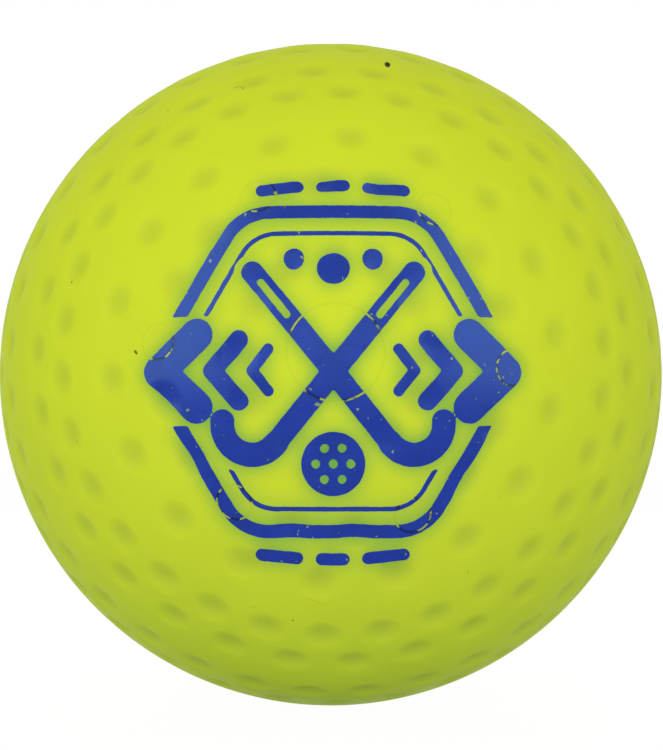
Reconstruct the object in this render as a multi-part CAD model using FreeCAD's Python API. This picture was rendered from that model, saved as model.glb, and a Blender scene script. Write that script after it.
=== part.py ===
import FreeCAD, Part
import math
import os

# Field hockey ball, moulded in one piece, with a shallow dimple pattern.
# Millimetres, +Z up, origin at the centre of the ball.
# The mould's pole axis lies along Y, so the mould parts in the XZ plane.

# The ball
BALL_DIAMETER = 73.0

# The dimples: shallow dishes in rings round the pole axis
DIMPLE_DIAMETER = 4.1
DIMPLE_DEPTH = 0.20
DIMPLE_SIDES = 6
TOOL_MARGIN = 0.3

# The mould's meridian that every ring is set out from, clockwise from +X as seen from -Y
BASE_MERIDIAN = 14.2

# Rings of one half, from its pole to the parting plane:
# angle from the pole, places in the ring, and how many pitches past the base meridian
# the first place is
PIN_RING = (26.8, 18, -0.5)
DIMPLE_RINGS = (
    (14.0, 12, 0.5),
    (35.6, 18, 0),
    (46.9, 30, 0.5),
    (54.2, 30, 0),
    (66.4, 36, 0),
    (74.6, 36, 0.5),
    (86.1, 36, 0),
)

# On the -Y half every third place of the pin ring has the flat end of a mould pin,
# from the first on
PIN_EVERY = 3
PIN_DIAMETER = 3.4

# Angles from the pole where one zone of the skin's profile gives way to the next, in
# the plain bands between the rings
ZONE_ENDS = (21, 31.2, 41.2, 60.3, 80.3)

BALL_RADIUS = BALL_DIAMETER / 2
CENTRE = FreeCAD.Vector(0, 0, 0)
UP = FreeCAD.Vector(0, 0, 1)


def direction(angle_from_pole, angle_round, half):
    """Unit vector to a place on the ball; half is -1 towards -Y and 1 towards +Y."""
    across = math.sin(math.radians(angle_from_pole))
    along = math.cos(math.radians(angle_from_pole))
    turn = math.radians(angle_round)
    return FreeCAD.Vector(across * math.cos(turn), half * along, -across * math.sin(turn))


def ring_places(ring, half):
    """Unit vectors of one ring's places, in order from its first."""
    angle_from_pole, count, first = ring
    pitch = 360 / count
    return [
        direction(angle_from_pole, BASE_MERIDIAN + pitch * (first + k), half)
        for k in range(count)
    ]


def skin_height(radius):
    """Height above the ball's centre of a circle of this radius that lies on the skin."""
    return math.sqrt(BALL_RADIUS ** 2 - radius ** 2)


def profile_point(angle):
    """Point of the ball's outline in the XY plane, at this angle from the -Y pole."""
    turn = math.radians(angle)
    return FreeCAD.Vector(math.sin(turn), -math.cos(turn), 0) * BALL_RADIUS


def plain_ball():
    """Ball with no dimples: half a disc revolved about the mould's axis.

    The half disc's edge is one arc for each zone, so the skin comes in zones too.
    """
    near_half = [0, *ZONE_ENDS, 90]
    ends = near_half + [180 - angle for angle in reversed(near_half[:-1])]
    edges = []
    for low, high in zip(ends[:-1], ends[1:]):
        points = [profile_point(angle) for angle in (low, (low + high) / 2, high)]
        edges.append(Part.Arc(*points).toShape())
    edges.append(Part.makeLine(profile_point(180), profile_point(0)))
    half_disc = Part.Face(Part.Wire(edges))
    return half_disc.revolve(CENTRE, FreeCAD.Vector(0, 1, 0), 360)


def dimple_tool_at_top():
    """Six-sided dish tool at the ball's top.

    Its flat sides slope from the bottom of the dish through the rim and a margin on,
    and from there it stands straight up, clear of the ball. A flat so near to tangent
    leaves the skin along a curved line, so the rim is nearly round on few faces.
    """
    rim_radius = DIMPLE_DIAMETER / 2
    bottom = BALL_RADIUS - DIMPLE_DEPTH
    slope = (skin_height(rim_radius) - bottom) / rim_radius
    outer_radius = rim_radius + TOOL_MARGIN
    outer_height = bottom + slope * outer_radius
    corners = []
    for k in range(DIMPLE_SIDES + 1):
        turn = 2 * math.pi * k / DIMPLE_SIDES
        corners.append(FreeCAD.Vector(math.cos(turn), math.sin(turn), 0) * outer_radius)
    outline = Part.makePolygon(corners)
    outline.translate(UP * outer_height)
    raised = outline.copy()
    raised.translate(UP)
    return Part.makeLoft([Part.Vertex(0, 0, bottom), outline, raised], True, True)


def turned_to(tool, place):
    """Copy of a tool made at the ball's top, turned to another place on the skin."""
    copy = tool.copy()
    copy.Placement = FreeCAD.Placement(CENTRE, FreeCAD.Rotation(UP, place))
    return copy


# One tool of each kind, made at the top of the ball
dimple_tool = dimple_tool_at_top()
pin_radius = PIN_DIAMETER / 2
pin_tool = Part.makeCylinder(
    pin_radius + TOOL_MARGIN, 2 * TOOL_MARGIN, UP * skin_height(pin_radius), UP
)

# Both halves of the mould, each with its own pole
tools = []
for half in (-1, 1):
    for ring in DIMPLE_RINGS:
        for place in ring_places(ring, half):
            tools.append(turned_to(dimple_tool, place))
    for number, place in enumerate(ring_places(PIN_RING, half)):
        has_pin = half == -1 and number % PIN_EVERY == 0
        tools.append(turned_to(pin_tool if has_pin else dimple_tool, place))

# The ball is solid right through
ball = plain_ball().cut(tools)

os.makedirs("parts", exist_ok=True)
ball.exportStep("parts/ball.step")
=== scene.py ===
import bpy
import math
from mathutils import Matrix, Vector, noise


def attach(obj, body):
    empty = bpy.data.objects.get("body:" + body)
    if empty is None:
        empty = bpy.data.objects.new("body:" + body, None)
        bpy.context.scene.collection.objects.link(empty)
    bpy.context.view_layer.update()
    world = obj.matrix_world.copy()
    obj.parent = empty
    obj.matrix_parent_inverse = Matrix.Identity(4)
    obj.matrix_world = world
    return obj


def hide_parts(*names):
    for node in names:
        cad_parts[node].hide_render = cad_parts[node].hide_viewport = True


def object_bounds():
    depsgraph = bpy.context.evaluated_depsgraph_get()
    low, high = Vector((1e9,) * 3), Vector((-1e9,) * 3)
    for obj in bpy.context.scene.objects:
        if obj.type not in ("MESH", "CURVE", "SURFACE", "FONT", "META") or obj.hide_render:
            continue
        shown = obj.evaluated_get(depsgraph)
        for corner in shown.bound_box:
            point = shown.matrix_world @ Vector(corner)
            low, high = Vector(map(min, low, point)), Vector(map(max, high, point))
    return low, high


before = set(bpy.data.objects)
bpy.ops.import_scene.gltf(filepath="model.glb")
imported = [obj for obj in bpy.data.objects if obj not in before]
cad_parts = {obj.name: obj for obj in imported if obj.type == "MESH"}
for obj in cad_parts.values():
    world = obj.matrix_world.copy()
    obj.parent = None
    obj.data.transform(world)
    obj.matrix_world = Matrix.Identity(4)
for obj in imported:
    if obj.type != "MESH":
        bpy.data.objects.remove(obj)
CAD_LOW, CAD_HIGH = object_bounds()

MM = 0.001
BALL_RADIUS = (CAD_HIGH.y - CAD_LOW.y) / 2

# Dimple layout, as in the part's source: angle from the pole, places in the ring,
# and how many pitches past the base meridian the first place is
BASE_MERIDIAN = 14.2
PIN_RING = (26.8, 18, -0.5)
DIMPLE_RINGS = (
    (14.0, 12, 0.5),
    (35.6, 18, 0),
    (46.9, 30, 0.5),
    (54.2, 30, 0),
    (66.4, 36, 0),
    (74.6, 36, 0.5),
    (86.1, 36, 0),
)
PIN_EVERY = 3
PIN_RADIUS = 1.7 * MM
GATE_RADIUS = 4.45 * MM

# The moulded dimple has a rolled rim, so it is wider than the dish inside it
DIMPLE_RADIUS = 2.28 * MM
DIMPLE_DEPTH = 0.32 * MM

# The mesh is fine for this much past a dimple's rim
FINE_MARGIN = 0.1 * MM

# The ink film stands proud of the skin, and its back lies under the skin
FILM_PROUD = 0.025 * MM
FILM_THICKNESS = 0.06 * MM


# Directions and the moulded skin

def direction(angle_from_pole, angle_round, half):
    """Unit vector to a place on the ball; half is -1 towards -Y and 1 towards +Y."""
    across = math.sin(math.radians(angle_from_pole))
    along = math.cos(math.radians(angle_from_pole))
    turn = math.radians(angle_round)
    return Vector((across * math.cos(turn), half * along, -across * math.sin(turn)))


def nearest_in_ring(way, ring):
    """(number of the ring's place nearest to this direction, angle to it in radians)."""
    angle_from_pole, count, first = ring
    half = -1 if way.y < 0 else 1
    pitch = 360 / count
    turn = math.degrees(math.atan2(-way.z, way.x))
    number = round((turn - BASE_MERIDIAN) / pitch - first)
    place = direction(angle_from_pole, BASE_MERIDIAN + pitch * (first + number), half)
    return number % count, way.angle(place, 0)


def dish_depth(angle):
    """Depth of a dimple with a rolled rim at this angle from its middle."""
    share = angle * BALL_RADIUS / DIMPLE_RADIUS
    return DIMPLE_DEPTH * (1 - share ** 2) ** 2 if share < 1 else 0


def flat_depth(angle):
    """Depth of the flat that a mould pin leaves, at this angle from its middle."""
    edge = PIN_RADIUS / BALL_RADIUS
    return BALL_RADIUS * (1 - math.cos(edge) / math.cos(angle)) if angle < edge else 0


def skin_radius(way):
    """Distance of the skin from the ball's centre in this direction."""
    depth = 0
    for ring in DIMPLE_RINGS:
        depth += dish_depth(nearest_in_ring(way, ring)[1])
    number, angle = nearest_in_ring(way, PIN_RING)
    if way.y < 0 and number % PIN_EVERY == 0:
        depth += flat_depth(angle)
    else:
        depth += dish_depth(angle)
    return BALL_RADIUS - depth


def near_a_dimple(way):
    """True within reach of a dimple or a pin's mark, where the mesh has to be fine."""
    reach = (DIMPLE_RADIUS + FINE_MARGIN) / BALL_RADIUS
    return any(nearest_in_ring(way, ring)[1] < reach for ring in (PIN_RING, *DIMPLE_RINGS))


# Materials

def linear(hex_colour):
    """Linear RGBA of an sRGB hex colour."""
    parts = [int(hex_colour[k:k + 2], 16) / 255 for k in (1, 3, 5)]
    curve = [p / 12.92 if p <= 0.04045 else ((p + 0.055) / 1.055) ** 2.4 for p in parts]
    return (*curve, 1)


# Settings that several nodes share
MULTIPLY = {"operation": "MULTIPLY"}
MULTIPLY_ADD = {"operation": "MULTIPLY_ADD"}
ABSOLUTE = {"operation": "ABSOLUTE"}
DOT_PRODUCT = {"operation": "DOT_PRODUCT"}
OF_COLOURS = {"data_type": "RGBA"}
SMOOTH = {"interpolation_type": "SMOOTHSTEP"}


def add(tree, kind, settings=None, **inputs):
    """Adds a node; settings go on the node itself.

    An input is named by its socket, or by i and its number. It gets a value, or a link
    from a socket or from the first output in use of a node.
    """
    made = tree.nodes.new(kind)
    for name, value in (settings or {}).items():
        setattr(made, name, value)
    for name, value in inputs.items():
        key = int(name[1:]) if name[1:].isdigit() else name.replace("_", " ")
        if isinstance(value, bpy.types.Node):
            value = next(socket for socket in value.outputs if socket.enabled)
        if isinstance(value, bpy.types.NodeSocket):
            tree.links.new(value, made.inputs[key])
        else:
            made.inputs[key].default_value = value
    return made


def highest(tree, values):
    """Greatest of several values."""
    top = values[0]
    for value in values[1:]:
        top = add(tree, "ShaderNodeMath", {"operation": "MAXIMUM"}, i0=top, i1=value)
    return top


def line_round(tree, place, centre, radius, width):
    """1 on a fine circle round a place on the skin, 0 away from it."""
    away = add(
        tree, "ShaderNodeVectorMath", {"operation": "DISTANCE"}, i0=place, i1=tuple(centre)
    )
    off_line = add(tree, "ShaderNodeMath", {"operation": "SUBTRACT"}, i0=away, i1=radius)
    off_line = add(tree, "ShaderNodeMath", ABSOLUTE, i0=off_line)
    return add(
        tree, "ShaderNodeMapRange", SMOOTH,
        i0=off_line, i1=width * 0.4, i2=width, i3=1.0, i4=0.0,
    )


def new_material(name):
    """Material with an empty tree: returns it, its tree, output and Object coordinates."""
    material = bpy.data.materials.new(name)
    material.use_nodes = True
    tree = material.node_tree
    tree.nodes.clear()
    output = add(tree, "ShaderNodeOutputMaterial")
    place = add(tree, "ShaderNodeTexCoord").outputs["Object"]
    return material, tree, output, place


SKIN_COLOUR = "#CDDD2E"
INK_COLOUR = "#253C9F"

PIN_PLACES = [
    BALL_RADIUS * direction(PIN_RING[0], BASE_MERIDIAN + 20 * (PIN_RING[2] + k), -1)
    for k in range(0, PIN_RING[1], PIN_EVERY)
]
GATE_PLACE = Vector((0, -BALL_RADIUS, 0))


def witness_lines(tree, place, width):
    """1 on the fine circles that the mould's pins and gate leave."""
    rings = [line_round(tree, place, pin, PIN_RADIUS, width) for pin in PIN_PLACES]
    rings.append(line_round(tree, place, GATE_PLACE, GATE_RADIUS, width))
    return highest(tree, rings)


# How far a mark reaches into the skin and out of it, so that it stays on its own side
MARK_REACH = 2 * MM

# Specks and scratches on the front: x and z of the middle, half length and half width
# in millimetres, turn anticlockwise from the level, and how dark
MARKS = (
    (5.54, 30.54, 0.85, 0.30, 74, 1.0),
    (-9.74, 27.55, 0.34, 0.09, 40, 0.40),
    (-9.28, 27.60, 0.36, 0.09, -8, 0.50),
    (-9.01, 27.31, 0.30, 0.09, -80, 0.45),
    (-18.53, 0.30, 0.27, 0.13, -47, 0.80),
    (-3.93, -25.00, 0.13, 0.11, 84, 0.55),
    (-25.57, 7.60, 0.14, 0.12, -73, 0.60),
    (-16.68, 25.57, 0.22, 0.10, -55, 0.30),
    (-24.87, -7.96, 0.12, 0.11, 75, 0.28),
    (-1.97, -22.93, 0.90, 0.07, -28, 0.13),
    (-7.68, -23.63, 0.50, 0.08, 17, 0.16),
    (12.75, -20.33, 0.32, 0.08, -77, 0.18),
    (-32.09, 7.71, 0.75, 0.11, -30, 0.16),
    (-23.22, -23.52, 0.55, 0.11, 52, 0.16),
    (-18.49, -27.24, 0.26, 0.12, -34, 0.16),
)


def mark_on_skin(tree, place, mark):
    """Dark strength of one speck or scratch, 0 away from it."""
    x, z, half_length, half_width, turn, dark = mark
    spot = Vector((x, -math.sqrt((BALL_RADIUS / MM) ** 2 - x * x - z * z), z)) * MM
    out = spot.normalized()
    level = Vector((0, 0, 1)).cross(out).normalized()
    rise = out.cross(level)
    turn = math.radians(turn)
    along = level * math.cos(turn) + rise * math.sin(turn)
    across = rise * math.cos(turn) - level * math.sin(turn)
    from_spot = add(
        tree, "ShaderNodeVectorMath", {"operation": "SUBTRACT"}, i0=place, i1=tuple(spot)
    )
    axes = (along / (half_length * MM), across / (half_width * MM), out / MARK_REACH)
    away = 0.0
    for axis in axes:
        share = add(
            tree, "ShaderNodeVectorMath", DOT_PRODUCT, i0=from_spot, i1=tuple(axis)
        )
        away = add(tree, "ShaderNodeMath", MULTIPLY_ADD, i0=share, i1=share, i2=away)
    return add(
        tree, "ShaderNodeMapRange", SMOOTH, i0=away, i1=0.45, i2=1.5, i3=dark, i4=0.0
    )


def skin_material():
    """Injection-moulded polyurethane, satin from the polished mould.

    Gives the even yellow, with painted shade at the bottom of the dimples and greener
    painted shade beside the ink, where light that sinks into the skin is lost. Also a hint
    of orange peel, the fine mould marks, the trimmed parting line and a few specks of dirt.
    """
    material, tree, output, place = new_material("moulded_polyurethane")

    # Clouds of about 9 mm in the yellow
    cloud = add(tree, "ShaderNodeTexNoise", Vector=place, Scale=1 / (9 * MM), Detail=3.0)
    cloud = add(
        tree, "ShaderNodeMapRange", SMOOTH, i0=cloud, i1=0.35, i2=0.65, i3=0.0, i4=1.0
    )
    colour = add(
        tree, "ShaderNodeMix", OF_COLOURS,
        i0=cloud, i6=linear("#CBDB2E"), i7=linear(SKIN_COLOUR),
    )

    # Painted shade, darker with the depth below the ball's round
    from_centre = add(tree, "ShaderNodeVectorMath", {"operation": "LENGTH"}, i0=place)
    pit_shade = add(
        tree, "ShaderNodeMapRange",
        i0=from_centre, i1=BALL_RADIUS, i2=BALL_RADIUS - DIMPLE_DEPTH, i3=0.0, i4=1.0,
    )
    colour = add(
        tree, "ShaderNodeMix", OF_COLOURS, i0=pit_shade, i6=colour, i7=linear("#BFCF33")
    )

    # Painted shade beside the ink: greener where light that sinks into the skin is lost
    near_ink = add(tree, "ShaderNodeAttribute", {"attribute_name": "near_ink"})
    colour = add(
        tree, "ShaderNodeMix", OF_COLOURS,
        i0=near_ink.outputs["Fac"], i6=colour, i7=linear("#30974B"),
    )

    # The fine circles of the pins and the gate, and the trimmed parting line
    lines = witness_lines(tree, place, 0.16 * MM)
    line_tint = add(tree, "ShaderNodeMath", MULTIPLY, i0=lines, i1=0.08)
    colour = add(
        tree, "ShaderNodeMix", OF_COLOURS, i0=line_tint, i6=colour, i7=linear("#8C9C2A")
    )
    off_plane = add(tree, "ShaderNodeVectorMath", DOT_PRODUCT, i0=place, i1=(0, 1, 0))
    off_plane = add(tree, "ShaderNodeMath", ABSOLUTE, i0=off_plane)
    seam = add(
        tree, "ShaderNodeMapRange", SMOOTH,
        i0=off_plane, i1=0.06 * MM, i2=0.16 * MM, i3=1.0, i4=0.0,
    )
    seam_tint = add(tree, "ShaderNodeMath", MULTIPLY, i0=seam, i1=0.25)
    colour = add(
        tree, "ShaderNodeMix", OF_COLOURS, i0=seam_tint, i6=colour, i7=linear("#B4C42E")
    )

    dirt = highest(tree, [mark_on_skin(tree, place, mark) for mark in MARKS])
    colour = add(
        tree, "ShaderNodeMix", OF_COLOURS, i0=dirt, i6=colour, i7=linear("#20220F")
    )

    # Orange peel with a grain of half a millimetre, and the lines cut in or standing up
    peel = add(tree, "ShaderNodeTexNoise", Vector=place, Scale=1 / (0.5 * MM))
    height = add(tree, "ShaderNodeMath", MULTIPLY, i0=peel, i1=0.004 * MM)
    height = add(tree, "ShaderNodeMath", MULTIPLY_ADD, i0=lines, i1=-0.010 * MM, i2=height)
    height = add(tree, "ShaderNodeMath", MULTIPLY_ADD, i0=seam, i1=0.015 * MM, i2=height)
    bump = add(tree, "ShaderNodeBump", Strength=1.0, Distance=1.0, Height=height)

    # Satin that varies over about 3 mm
    satin = add(tree, "ShaderNodeTexNoise", Vector=place, Scale=1 / (3 * MM), Detail=3.0)
    satin = add(
        tree, "ShaderNodeMapRange", SMOOTH, i0=satin, i1=0.3, i2=0.7, i3=0.44, i4=0.52
    )
    shader = add(
        tree, "ShaderNodeBsdfPrincipled",
        Base_Color=colour, Roughness=satin, IOR=1.46, Specular_IOR_Level=0.02, Normal=bump,
    )
    tree.links.new(shader.outputs["BSDF"], output.inputs["Surface"])
    return material


def ink_material():
    """Pad-printed gloss ink, a film some hundredths of a millimetre thick.

    Gives the deep blue, its blue-green reflections of the pale room, the steps with a
    painted shadow along them, and pale breaks over the mould's fine lines.
    """
    material, tree, output, place = new_material("pad_printed_ink")

    # Clouds of about 2.5 mm where the film is thicker
    cloud = add(tree, "ShaderNodeTexNoise", Vector=place, Scale=1 / (2.5 * MM), Detail=4.0)
    cloud = add(
        tree, "ShaderNodeMapRange", SMOOTH, i0=cloud, i1=0.3, i2=0.7, i3=0.0, i4=1.0
    )
    colour = add(
        tree, "ShaderNodeMix", OF_COLOURS,
        i0=cloud, i6=linear("#223894"), i7=linear(INK_COLOUR),
    )

    # Over the mould's lines the film steps, with a painted shadow along each step, and in
    # places it breaks and shows the skin
    lines = witness_lines(tree, place, 0.20 * MM)
    step_and_shadow = add(tree, "ShaderNodeMath", MULTIPLY, i0=lines, i1=0.85)
    colour = add(
        tree, "ShaderNodeMix", OF_COLOURS, i0=step_and_shadow, i6=colour, i7=linear("#16265A")
    )
    broken = add(tree, "ShaderNodeTexNoise", Vector=place, Scale=1 / (0.8 * MM))
    broken = add(
        tree, "ShaderNodeMapRange", SMOOTH, i0=broken, i1=0.48, i2=0.58, i3=0.0, i4=1.0
    )
    thin_lines = witness_lines(tree, place, 0.13 * MM)
    breaks = add(tree, "ShaderNodeMath", MULTIPLY, i0=thin_lines, i1=broken)
    pinholes = add(
        tree, "ShaderNodeTexNoise", Vector=place, Scale=1 / (0.45 * MM), Detail=0.0
    )
    pinholes = add(
        tree, "ShaderNodeMapRange", SMOOTH, i0=pinholes, i1=0.80, i2=0.84, i3=0.0, i4=0.6
    )
    bare = highest(tree, [breaks, pinholes])
    colour = add(
        tree, "ShaderNodeMix", OF_COLOURS, i0=bare, i6=colour, i7=linear("#A9B83C")
    )

    waves = add(tree, "ShaderNodeTexNoise", Vector=place, Scale=1 / (0.7 * MM))
    height = add(tree, "ShaderNodeMath", MULTIPLY, i0=waves, i1=0.006 * MM)
    height = add(tree, "ShaderNodeMath", MULTIPLY_ADD, i0=step_and_shadow, i1=-0.015 * MM, i2=height)
    bump = add(tree, "ShaderNodeBump", Strength=1.0, Distance=1.0, Height=height)

    gloss = add(tree, "ShaderNodeTexNoise", Vector=place, Scale=1 / (1.5 * MM), Detail=3.0)
    gloss = add(
        tree, "ShaderNodeMapRange", SMOOTH, i0=gloss, i1=0.3, i2=0.7, i3=0.26, i4=0.34
    )
    shader = add(
        tree, "ShaderNodeBsdfPrincipled",
        Base_Color=colour, Roughness=gloss, IOR=1.5, Specular_IOR_Level=1.0,
        Specular_Tint=(0.45, 0.86, 1.0, 1), Normal=bump,
    )
    tree.links.new(shader.outputs["BSDF"], output.inputs["Surface"])
    return material


# The print: signed distances in millimetres, x to the right and z up, below 0 in the ink

PRINT_CENTRE = (-0.2, -1.6)

# How far the ink's edge wavers
EDGE_UNEVEN = 0.035


def disc(x, z, radius):
    return math.hypot(x, z) - radius


def bar(x, z, x0, z0, x1, z1, width):
    """Straight stroke with round ends."""
    along = ((x - x0) * (x1 - x0) + (z - z0) * (z1 - z0)) / ((x1 - x0) ** 2 + (z1 - z0) ** 2)
    share = min(1, max(0, along))
    return math.hypot(x - x0 - share * (x1 - x0), z - z0 - share * (z1 - z0)) - width / 2


def arc(x, z, radius, middle, spread, width):
    """Stroke along part of a circle round the origin; angles in degrees from +x."""
    off = (math.degrees(math.atan2(z, x)) - middle + 180) % 360 - 180
    held = math.radians(middle + min(spread, max(-spread, off)))
    return math.hypot(x - radius * math.cos(held), z - radius * math.sin(held)) - width / 2


def hexagon(x, z, apothem, corner):
    """Hexagon with a flat top and round corners."""
    x, z = abs(x), abs(z)
    over = 2 * min(0, 0.5 * z - math.sqrt(0.75) * x)
    x += over * math.sqrt(0.75)
    z -= over * 0.5
    flat = apothem - corner
    x -= min(flat / math.sqrt(3), max(-flat / math.sqrt(3), x))
    z -= flat
    return math.copysign(math.hypot(x, z), z) - corner


def stick(x, z):
    """One hockey stick leaning to the right, with its hook at the lower left."""
    shaft = bar(x, z, 7.4, 9.0, -5.2, -6.6, 2.0)
    head = arc(x + 7.35, z + 4.9, 2.75, -112, 74, 2.2)
    grip = -bar(x, z, 6.6, 8.0, 4.2, 5.0, 0.7)
    return max(min(shaft, head), grip)


def design(x, z):
    """Signed distance to the whole print, the same on its left and right."""
    uneven = EDGE_UNEVEN * noise.noise(Vector((x, 0, z)) * 1.6)
    x, z = abs(x - PRINT_CENTRE[0]), z - PRINT_CENTRE[1]
    side_gap = 5.0 - abs(z)
    frame_line = max(abs(hexagon(x, z, 14.7, 4.5)) - 0.62, side_gap)
    thin_line = max(abs(hexagon(x, z, 12.6, 3.6)) - 0.21, side_gap)
    sticks = min(stick(x, z), stick(-x, z))
    clear = sticks - 0.7
    thin_line = max(thin_line, -clear)
    holes = min(
        disc(x, z + 8.5, 0.42), disc(x - 1.6, z + 8.5, 0.42),
        disc(x - 0.8, abs(z + 8.5) - 1.38, 0.42),
    )
    small_ball = max(disc(x, z + 8.5, 2.9), -holes)
    chevron = min(
        bar(x, z, 12.5, 3.3, 16.0, 0, 3.0), bar(x, z, 16.0, 0, 12.5, -3.3, 3.0)
    )
    small = min(bar(x, z, 8.6, 2.8, 11.0, 0, 1.7), bar(x, z, 11.0, 0, 8.6, -2.8, 1.7))
    tiny = min(bar(x, z, 5.9, 1.9, 7.4, 0, 1.0), bar(x, z, 7.4, 0, 5.9, -1.9, 1.0))
    dots = min(disc(x, z - 9.3, 1.5), disc(x - 3.6, z - 10.2, 0.95))
    dashes = min(
        bar(x, abs(z), 0, 17.3, 1.0, 17.3, 1.15), bar(x, abs(z), 3.3, 17.2, 6.6, 16.9, 1.15)
    )
    parts = (
        frame_line, thin_line, sticks, small_ball, chevron, small, tiny, dots, dashes,
    )
    return min(parts) + uneven


def blurred_ink(reach=22.5, step=0.25, spread=0.85):
    """(reach, step, grid of the share of ink near each place, x by z), in millimetres.

    Spread is how far light wanders inside the skin before it comes out again.
    """
    count = int(2 * reach / step) + 1
    spots = [step * k - reach for k in range(count)]
    rows = [[1.0 if design(x, z) < 0 else 0.0 for z in spots] for x in spots]
    span = int(2.6 * spread / step)
    weights = [math.exp(-0.5 * (k * step / spread) ** 2) for k in range(-span, span + 1)]
    total = sum(weights)
    for _ in range(2):
        blurred = []
        for row in rows:
            padded = [0.0] * span + row + [0.0] * span
            blurred.append([
                sum(w * v for w, v in zip(weights, padded[k:k + 2 * span + 1])) / total
                for k in range(count)
            ])
        rows = [list(row) for row in zip(*blurred)]
    return reach, step, rows


INK_GRID = blurred_ink()

# The mesh is fine where the share of ink near it is more than this
LEAST_SHARE = 0.02


def ink_share(place):
    """Share of ink round a place on the ball, from 0 to 1."""
    reach, step, rows = INK_GRID
    i, j = (place.x / MM + reach) / step, (place.z / MM + reach) / step
    if place.y > 0 or not (0 <= i < len(rows) - 1 and 0 <= j < len(rows) - 1):
        return 0
    a, b = int(i), int(j)
    low = rows[a][b] + (i - a) * (rows[a + 1][b] - rows[a][b])
    high = rows[a][b + 1] + (i - a) * (rows[a + 1][b + 1] - rows[a][b + 1])
    return low + (j - b) * (high - low)


# The ball: an icosphere made finer round each dimple and print, then pressed into shape

def set_material(piece, material):
    """Gives a piece one material."""
    piece.data.materials.clear()
    piece.data.materials.append(material)


def build_ball():
    """The moulded ball, with each vertex moved in or out to the skin."""
    bpy.ops.object.select_all(action="DESELECT")
    bpy.ops.mesh.primitive_ico_sphere_add(subdivisions=6, radius=BALL_RADIUS)
    ball = bpy.context.object
    ball.name = "ball_skin"
    bpy.ops.object.mode_set(mode="EDIT")
    bpy.ops.mesh.select_mode(type="FACE")
    bpy.ops.mesh.select_all(action="DESELECT")
    bpy.ops.object.mode_set(mode="OBJECT")
    for polygon in ball.data.polygons:
        way = polygon.center.normalized()
        polygon.select = near_a_dimple(way) or ink_share(way * BALL_RADIUS) > LEAST_SHARE
    bpy.ops.object.mode_set(mode="EDIT")
    bpy.ops.mesh.subdivide(number_cuts=3)
    bpy.ops.object.mode_set(mode="OBJECT")
    for vertex in ball.data.vertices:
        way = vertex.co.normalized()
        vertex.co = way * skin_radius(way)
    # Share of ink nearby, which sets the painted shade beside the ink
    shares = ball.data.attributes.new("near_ink", "FLOAT", "POINT")
    for vertex, share in zip(ball.data.vertices, shares.data):
        share.value = ink_share(vertex.co)
    bpy.ops.object.shade_smooth()
    set_material(ball, skin_material())
    return ball


def build_print(reach=19.5, step=0.2):
    """Ink film: the cells of a fine grid cut along the design's edge, laid on the skin."""
    count = int(2 * reach / step) + 1
    spots = [-reach + 2 * reach / (count - 1) * k for k in range(count)]
    value = [[design(x, z) for z in spots] for x in spots]
    points, index, faces = [], {}, []

    def point(a, b):
        """Number of the grid corner a, or of the edge's crossing between a and b."""
        key = (a, a) if b is None else (min(a, b), max(a, b))
        if key not in index:
            (i, j), (k, m) = key[0], key[1]
            va, vb = value[i][j], value[k][m]
            share = 0 if b is None else va / (va - vb)
            x = spots[i] + share * (spots[k] - spots[i])
            z = spots[j] + share * (spots[m] - spots[j])
            index[key] = len(points)
            points.append((x * MM, z * MM))
        return index[key]

    for i in range(count - 1):
        for j in range(count - 1):
            ring = [(i, j), (i + 1, j), (i + 1, j + 1), (i, j + 1)]
            inside = [value[a][b] < 0 for a, b in ring]
            if not any(inside):
                continue
            face = []
            for k in range(4):
                here, after = ring[k], ring[(k + 1) % 4]
                if inside[k]:
                    face.append(point(here, None))
                if inside[k] != inside[(k + 1) % 4]:
                    face.append(point(here, after))
            faces.append(face)

    corners = []
    for x, z in points:
        way = Vector((x, -math.sqrt(BALL_RADIUS ** 2 - x * x - z * z), z)).normalized()
        corners.append(way * (skin_radius(way) + FILM_PROUD))
    mesh = bpy.data.meshes.new("print_film")
    mesh.from_pydata(corners, [], faces)
    film = bpy.data.objects.new("print_film", mesh)
    bpy.context.collection.objects.link(film)
    bpy.ops.object.select_all(action="DESELECT")
    film.select_set(True)
    bpy.context.view_layer.objects.active = film
    thick = film.modifiers.new("thickness", "SOLIDIFY")
    thick.thickness = FILM_THICKNESS
    thick.offset = -1
    bpy.ops.object.modifier_apply(modifier="thickness")
    bpy.ops.object.shade_smooth_by_angle(angle=math.radians(40))
    set_material(film, ink_material())
    return film


ball = build_ball()
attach(ball, "root")
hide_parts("ball")

film = build_print()
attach(film, "root")


# Floor, background and black cloth

def finds_background(tree):
    """1 for rays that find the white background: seen, mirrored or refracted."""
    rays = add(tree, "ShaderNodeLightPath").outputs
    kinds = ("Is Camera Ray", "Is Glossy Ray", "Is Transmission Ray")
    return highest(tree, [rays[kind] for kind in kinds])


def build_floor():
    """White paper under the ball and all round it."""
    bpy.ops.mesh.primitive_plane_add(size=6, location=(0, 0, CAD_LOW.z))
    floor = bpy.context.object
    floor.name = "floor"
    material, tree, output, _ = new_material("studio_floor")

    # What lights the ball from below: pale paper with a cool glow through it
    paper = add(tree, "ShaderNodeBsdfDiffuse", Color=linear("#B4B4B0"))
    glow = add(tree, "ShaderNodeEmission", Color=(0.74, 0.95, 2.4, 1), Strength=0.22)
    table = add(tree, "ShaderNodeAddShader", i0=paper, i1=glow)

    # What is seen: white, a little darker in the ball's shadow
    white = add(tree, "ShaderNodeEmission", Color=(1, 1, 1, 1), Strength=0.975)
    lit = add(tree, "ShaderNodeBsdfDiffuse", Color=linear("#38383A"))
    seen = add(tree, "ShaderNodeAddShader", i0=white, i1=lit)
    both = add(tree, "ShaderNodeMixShader", i0=finds_background(tree), i1=table, i2=seen)
    tree.links.new(both.outputs[0], output.inputs["Surface"])
    set_material(floor, material)
    return floor


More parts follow.
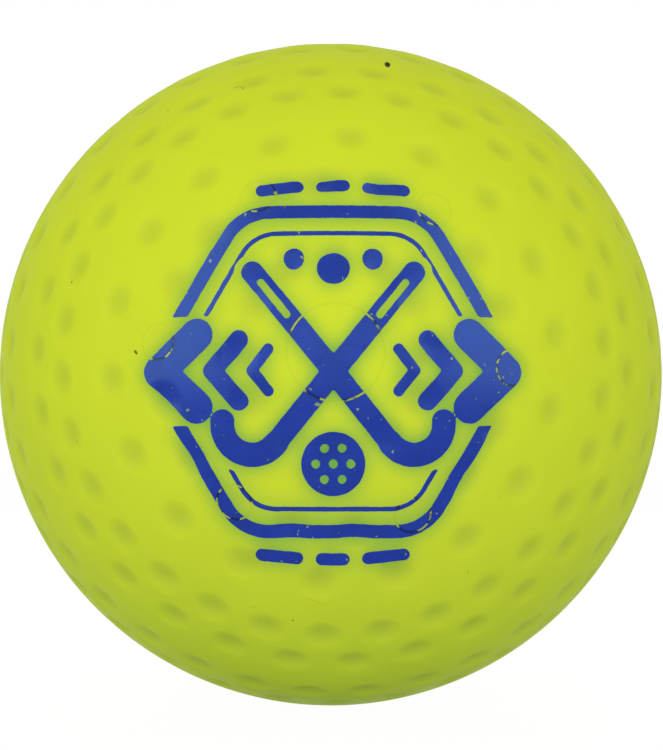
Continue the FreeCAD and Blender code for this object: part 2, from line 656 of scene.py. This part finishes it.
def build_cloth():
    """Black cloth in front of the ball and over it, there for its reflections alone."""
    profile = [
        (-0.010, -0.036), (-0.38, -0.034), (-0.43, 0.02), (-0.42, 0.20), (-0.36, 0.40),
        (-0.22, 0.54), (-0.05, 0.60),
    ]
    corners = [(side * 0.26, y, z) for y, z in profile for side in (-1, 1)]
    faces = [(2 * k, 2 * k + 1, 2 * k + 3, 2 * k + 2) for k in range(len(profile) - 1)]
    mesh = bpy.data.meshes.new("black_cloth")
    mesh.from_pydata(corners, [], faces)
    cloth = bpy.data.objects.new("black_cloth", mesh)
    bpy.context.collection.objects.link(cloth)
    material, tree, output, place = new_material("black_velvet")
    pile = add(tree, "ShaderNodeTexNoise", Vector=place, Scale=1 / (1.5 * MM))
    colour = add(
        tree, "ShaderNodeMix", OF_COLOURS, i0=pile, i6=linear("#1C1C1E"), i7=linear("#2A2A2C")
    )
    black = add(tree, "ShaderNodeBsdfDiffuse", Color=colour)
    tree.links.new(black.outputs[0], output.inputs["Surface"])
    set_material(cloth, material)
    cloth.visible_camera = False
    cloth.visible_diffuse = False
    cloth.visible_shadow = False
    return cloth


build_floor()
build_cloth()

# A warm room lights the ball, and a white one is seen and mirrored
world = bpy.data.worlds.new("studio")
bpy.context.scene.world = world
world.use_nodes = True
sky = world.node_tree
sky.nodes.clear()
share = finds_background(sky)
tint = add(
    sky, "ShaderNodeMix", OF_COLOURS, i0=share, i6=(1, 1, 0.75, 1), i7=(1, 1, 1, 1)
)
strength = add(
    sky, "ShaderNodeMapRange", SMOOTH, i0=share, i1=0.0, i2=1.0, i3=0.50, i4=1.0
)
background = add(sky, "ShaderNodeBackground", Color=tint, Strength=strength)
add(sky, "ShaderNodeOutputWorld", Surface=background)


# Lamps: azimuth is round from the camera's side, to the right

def lamp(name, azimuth, elevation, distance, width, height, share, colour):
    """Soft box aimed at the ball; share 1 lights a face turned to it as it is written.

    The boxes don't show in the ink's gloss, which mirrors the white room instead.
    """
    a, e = math.radians(azimuth), math.radians(elevation)
    way = Vector((math.sin(a) * math.cos(e), -math.cos(a) * math.cos(e), math.sin(e)))
    data = bpy.data.lights.new(name, "AREA")
    data.shape = "RECTANGLE"
    data.size, data.size_y = width, height
    data.energy = share * (math.pi * distance) ** 2
    data.color = colour
    box = bpy.data.objects.new(name, data)
    box.location = way * distance
    box.rotation_euler = way.to_track_quat("Z", "Y").to_euler()
    box.visible_glossy = False
    bpy.context.collection.objects.link(box)


lamp("left_box", -74, 12, 0.5, 0.75, 0.42, 0.21, (0.94, 1.0, 0.78))
lamp("right_box", 76, 12, 0.5, 0.75, 0.42, 0.11, (0.92, 1.0, 0.82))
lamp("front_fill", 0, 11, 0.6, 0.5, 0.25, 0.50, (1.0, 0.96, 1.1))
lamp("back_fill", 180, 14, 0.7, 0.3, 0.2, 0.45, (1.0, 0.98, 1.0))


# Camera: the pole is a little above and to the right of the ball's middle in the frame

FRAME_WIDTH, FRAME_HEIGHT = 663, 750
BALL_MIDDLE = (330.75, 374.47)
BALL_RADIUS_SEEN = 331.0
CAMERA_BELOW = 3.2
CAMERA_LEFT = 0.7
CAMERA_DISTANCE = 5.0 * BALL_RADIUS

camera_data = bpy.data.cameras.new("camera")
camera = bpy.data.objects.new("camera", camera_data)
bpy.context.collection.objects.link(camera)
a, e = math.radians(-CAMERA_LEFT), math.radians(-CAMERA_BELOW)
back = Vector((math.sin(a) * math.cos(e), -math.cos(a) * math.cos(e), math.sin(e)))
camera.location = back * CAMERA_DISTANCE
camera.rotation_mode = "QUATERNION"
camera.rotation_quaternion = back.to_track_quat("Z", "Y")
focal = BALL_RADIUS_SEEN * math.sqrt((CAMERA_DISTANCE / BALL_RADIUS) ** 2 - 1)
camera_data.sensor_width = 36
camera_data.lens = 36 * focal / FRAME_HEIGHT
camera_data.shift_x = (FRAME_WIDTH / 2 - BALL_MIDDLE[0]) / FRAME_HEIGHT
camera_data.shift_y = (BALL_MIDDLE[1] - FRAME_HEIGHT / 2) / FRAME_HEIGHT
camera_data.clip_start = 0.01
bpy.context.scene.camera = camera

bpy.context.scene.view_settings.view_transform = "Standard"
